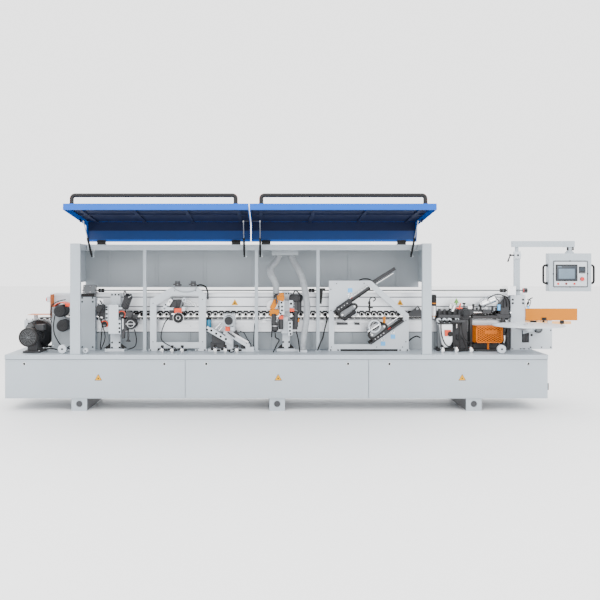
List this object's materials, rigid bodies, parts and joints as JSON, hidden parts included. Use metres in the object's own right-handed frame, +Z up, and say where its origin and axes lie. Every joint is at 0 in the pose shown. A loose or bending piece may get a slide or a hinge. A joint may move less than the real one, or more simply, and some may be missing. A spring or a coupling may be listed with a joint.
{
  "type": "edge banding machine",
  "caption": "Long through-feed edge banding machine with hinged lids raised, pressure beam, working units, coil disc and control pendant.",
  "frame": {"origin": "middle of the machine's box, on the floor", "axes": "+X along the line towards the infeed end, +Y away from the operator, +Z up"},
  "size_m": [6.085, 1.5322, 2.1229],
  "materials": {
    "white_paint": "textured light grey powder coat",
    "grey_paint": "matt grey paint",
    "blue_paint": "satin blue paint",
    "black_plastic": "black moulded plastic",
    "black_paint": "black paint on castings",
    "steel": "ground steel",
    "aluminium": "anodised extrusion",
    "orange_paint": "orange gloss paint",
    "red_plastic": "red gloss plastic",
    "hose_plastic": "translucent grey ribbed hose"
  },
  "bodies": {
    "machine": {"base_frame": "white_paint", "base_top_plate": "white_paint", "side_frame_left": "white_paint", "side_frame_right": "white_paint", "beam_frame": "white_paint", "rear_wall": "grey_paint", "conveyor_stand": "white_paint", "conveyor_beam": "aluminium", "conveyor_chain": "black_plastic", "drive_gearmotor": "black_paint", "lift_column": "white_paint", "outfeed_guard": "orange_paint", "buffing_unit": "black_paint", "scraper_post": "white_paint", "rounding_frame": "white_paint", "fine_trim_unit": "white_paint", "rough_trim_post": "white_paint", "dust_hose_left": "hose_plastic", "dust_hose_right": "hose_plastic", "end_cut_frame": "white_paint", "glue_unit": "black_paint", "glue_cover": "orange_paint", "infeed_stand": "white_paint", "pendant_post": "white_paint"},
    "base_door_left": {"base_door_left": "white_paint"},
    "base_door_middle": {"base_door_middle": "white_paint"},
    "base_door_right": {"base_door_right": "white_paint"},
    "main_switch": {"main_switch_knob": "black_plastic"},
    "lid_left": {"lid_left": "blue_paint", "lid_handle_left": "black_plastic"},
    "strut_cylinder_1": {"strut_cylinder_1": "black_paint"},
    "strut_rod_1": {"strut_rod_1": "steel"},
    "strut_cylinder_2": {"strut_cylinder_2": "black_paint"},
    "strut_rod_2": {"strut_rod_2": "steel"},
    "lid_right": {"lid_right": "blue_paint", "lid_handle_right": "black_plastic"},
    "strut_cylinder_3": {"strut_cylinder_3": "black_paint"},
    "strut_rod_3": {"strut_rod_3": "steel"},
    "strut_cylinder_4": {"strut_cylinder_4": "black_paint"},
    "strut_rod_4": {"strut_rod_4": "steel"},
    "pressure_beam": {"pressure_beam": "aluminium", "pressure_rollers": "steel"},
    "lift_shaft": {"lift_shaft": "steel"},
    "drive_sprocket": {"drive_sprocket": "steel"},
    "idler_sprocket": {"idler_sprocket": "steel"},
    "outfeed_stop": {"outfeed_stop": "red_plastic"},
    "scraper_head": {"scraper_head": "black_paint"},
    "rounding_head": {"rounding_head": "black_paint"},
    "trim_head_upper": {"trim_head_upper": "black_paint"},
    "trim_head_lower": {"trim_head_lower": "black_paint"},
    "end_saw_upper": {"end_saw_upper": "black_paint"},
    "end_saw_lower": {"end_saw_lower": "black_paint"},
    "coil_disc": {"coil_disc": "steel"},
    "infeed_fence": {"infeed_fence": "orange_paint"},
    "pendant_arm": {"pendant_arm": "white_paint"},
    "control_panel": {"control_panel": "white_paint"},
    "panel_stop": {"panel_stop": "red_plastic"},
    "panel_button_left": {"panel_button_left": "red_plastic"},
    "panel_button_middle": {"panel_button_middle": "red_plastic"},
    "panel_button_right": {"panel_button_right": "red_plastic"}
  },
  "joints": [
    {"name": "base_door_left_pull", "type": "slide", "parent": "machine", "child": "base_door_left", "axis": [0, -1, 0], "range_m": [0, 0.3]},
    {"name": "base_door_middle_pull", "type": "slide", "parent": "machine", "child": "base_door_middle", "axis": [0, -1, 0], "range_m": [0, 0.3]},
    {"name": "base_door_right_pull", "type": "slide", "parent": "machine", "child": "base_door_right", "axis": [0, -1, 0], "range_m": [0, 0.3]},
    {"name": "main_switch_turn", "type": "hinge", "parent": "machine", "child": "main_switch", "pos_m": [2.3845, 0.07608, 0.23], "axis": [1, 0, 0], "range_deg": [0, 90]},
    {"name": "lid_left_hinge", "type": "hinge", "parent": "machine", "child": "lid_left", "pos_m": [-1.4325, 0.27608, 1.7], "axis": [1, 0, 0], "range_deg": [0, 96]},
    {"name": "strut_1_swing", "type": "hinge", "parent": "machine", "child": "strut_cylinder_1", "pos_m": [-2.2475, 0.33608, 1.549], "axis": [1, 0, 0], "range_deg": [-1, 85.89]},
    {"name": "strut_1_stroke", "type": "slide", "parent": "strut_cylinder_1", "child": "strut_rod_1", "axis": [0, -0.7599, 0.65], "range_m": [-0.22933, 0.001]},
    {"name": "strut_2_swing", "type": "hinge", "parent": "machine", "child": "strut_cylinder_2", "pos_m": [-0.6575, 0.33608, 1.549], "axis": [1, 0, 0], "range_deg": [-1, 85.89]},
    {"name": "strut_2_stroke", "type": "slide", "parent": "strut_cylinder_2", "child": "strut_rod_2", "axis": [0, -0.7599, 0.65], "range_m": [-0.22933, 0.001]},
    {"name": "lid_right_hinge", "type": "hinge", "parent": "machine", "child": "lid_right", "pos_m": [0.2675, 0.27608, 1.7], "axis": [1, 0, 0], "range_deg": [0, 96]},
    {"name": "strut_3_swing", "type": "hinge", "parent": "machine", "child": "strut_cylinder_3", "pos_m": [-0.4925, 0.33608, 1.549], "axis": [1, 0, 0], "range_deg": [-1, 85.89]},
    {"name": "strut_3_stroke", "type": "slide", "parent": "strut_cylinder_3", "child": "strut_rod_3", "axis": [0, -0.7599, 0.65], "range_m": [-0.22933, 0.001]},
    {"name": "strut_4_swing", "type": "hinge", "parent": "machine", "child": "strut_cylinder_4", "pos_m": [1.0795, 0.33608, 1.549], "axis": [1, 0, 0], "range_deg": [-1, 85.89]},
    {"name": "strut_4_stroke", "type": "slide", "parent": "strut_cylinder_4", "child": "strut_rod_4", "axis": [0, -0.7599, 0.65], "range_m": [-0.22933, 0.001]},
    {"name": "pressure_beam_lift", "type": "slide", "parent": "machine", "child": "pressure_beam", "axis": [0, 0, 1], "range_m": [0, 0.05]},
    {"name": "lift_shaft_spin", "type": "hinge", "parent": "pressure_beam", "child": "lift_shaft", "pos_m": [-0.0325, 0.40608, 1.19], "axis": [1, 0, 0], "range_deg": [-1, 1801]},
    {"name": "drive_sprocket_spin", "type": "hinge", "parent": "machine", "child": "drive_sprocket", "pos_m": [-2.8195, 0.57608, 0.735], "axis": [0, 1, 0], "continuous": true},
    {"name": "idler_sprocket_spin", "type": "hinge", "parent": "machine", "child": "idler_sprocket", "pos_m": [2.4525, 0.57608, 0.735], "axis": [0, 1, 0], "continuous": true},
    {"name": "outfeed_stop_press", "type": "slide", "parent": "machine", "child": "outfeed_stop", "axis": [1, 0, 0], "range_m": [0, 0.005], "stiffness_N_per_m": 2000},
    {"name": "scraper_slide", "type": "slide", "parent": "machine", "child": "scraper_head", "axis": [0, 0, 1], "range_m": [-0.01, 0.01]},
    {"name": "rounding_swing", "type": "hinge", "parent": "machine", "child": "rounding_head", "pos_m": [-1.2825, 0.27608, 1.098], "axis": [0, 1, 0], "range_deg": [-15, 15]},
    {"name": "trim_head_upper_slide", "type": "slide", "parent": "machine", "child": "trim_head_upper", "axis": [0, 1, 0], "range_m": [-0.015, 0]},
    {"name": "trim_head_lower_slide", "type": "slide", "parent": "machine", "child": "trim_head_lower", "axis": [0, 1, 0], "range_m": [-0.015, 0]},
    {"name": "end_saw_upper_slide", "type": "slide", "parent": "machine", "child": "end_saw_upper", "axis": [0.8205, 0, 0.5717], "range_m": [0, 0.2]},
    {"name": "end_saw_lower_slide", "type": "slide", "parent": "machine", "child": "end_saw_lower", "axis": [0.8219, 0, 0.5696], "range_m": [-0.12, 0.1]},
    {"name": "coil_spin", "type": "hinge", "parent": "machine", "child": "coil_disc", "pos_m": [2.2035, 0.00608, 0.85], "axis": [0, 0, 1], "continuous": true},
    {"name": "fence_slide", "type": "slide", "parent": "machine", "child": "infeed_fence", "axis": [0, 1, 0], "range_m": [-0.03, 0]},
    {"name": "pendant_swing", "type": "hinge", "parent": "machine", "child": "pendant_arm", "pos_m": [2.2175, 0.45508, 1.647], "axis": [0, 0, 1], "range_deg": [-90, 45]},
    {"name": "panel_swivel", "type": "hinge", "parent": "pendant_arm", "child": "control_panel", "pos_m": [2.7745, 0.45508, 1.6], "axis": [0, 0, 1], "range_deg": [-60, 60]},
    {"name": "panel_stop_press", "type": "slide", "parent": "control_panel", "child": "panel_stop", "axis": [0, 1, 0], "range_m": [0, 0.005], "stiffness_N_per_m": 2000},
    {"name": "panel_button_left_press", "type": "slide", "parent": "control_panel", "child": "panel_button_left", "axis": [0, 1, 0], "range_m": [0, 0.003], "stiffness_N_per_m": 1000},
    {"name": "panel_button_middle_press", "type": "slide", "parent": "control_panel", "child": "panel_button_middle", "axis": [0, 1, 0], "range_m": [0, 0.003], "stiffness_N_per_m": 1000},
    {"name": "panel_button_right_press", "type": "slide", "parent": "control_panel", "child": "panel_button_right", "axis": [0, 1, 0], "range_m": [0, 0.003], "stiffness_N_per_m": 1000}
  ],
  "couplings": [
    {"joint": "strut_1_swing", "follows": "lid_left_hinge", "ratio": 0.88422},
    {"joint": "strut_1_stroke", "follows": "lid_left_hinge", "m_per_rad": -0.13628},
    {"joint": "strut_2_swing", "follows": "lid_left_hinge", "ratio": 0.88422},
    {"joint": "strut_2_stroke", "follows": "lid_left_hinge", "m_per_rad": -0.13628},
    {"joint": "strut_3_swing", "follows": "lid_right_hinge", "ratio": 0.88422},
    {"joint": "strut_3_stroke", "follows": "lid_right_hinge", "m_per_rad": -0.13628},
    {"joint": "strut_4_swing", "follows": "lid_right_hinge", "ratio": 0.88422},
    {"joint": "strut_4_stroke", "follows": "lid_right_hinge", "m_per_rad": -0.13628},
    {"joint": "lift_shaft_spin", "follows": "pressure_beam_lift", "rad_per_m": 628.32},
    {"joint": "idler_sprocket_spin", "follows": "drive_sprocket_spin", "ratio": 1}
  ]
}
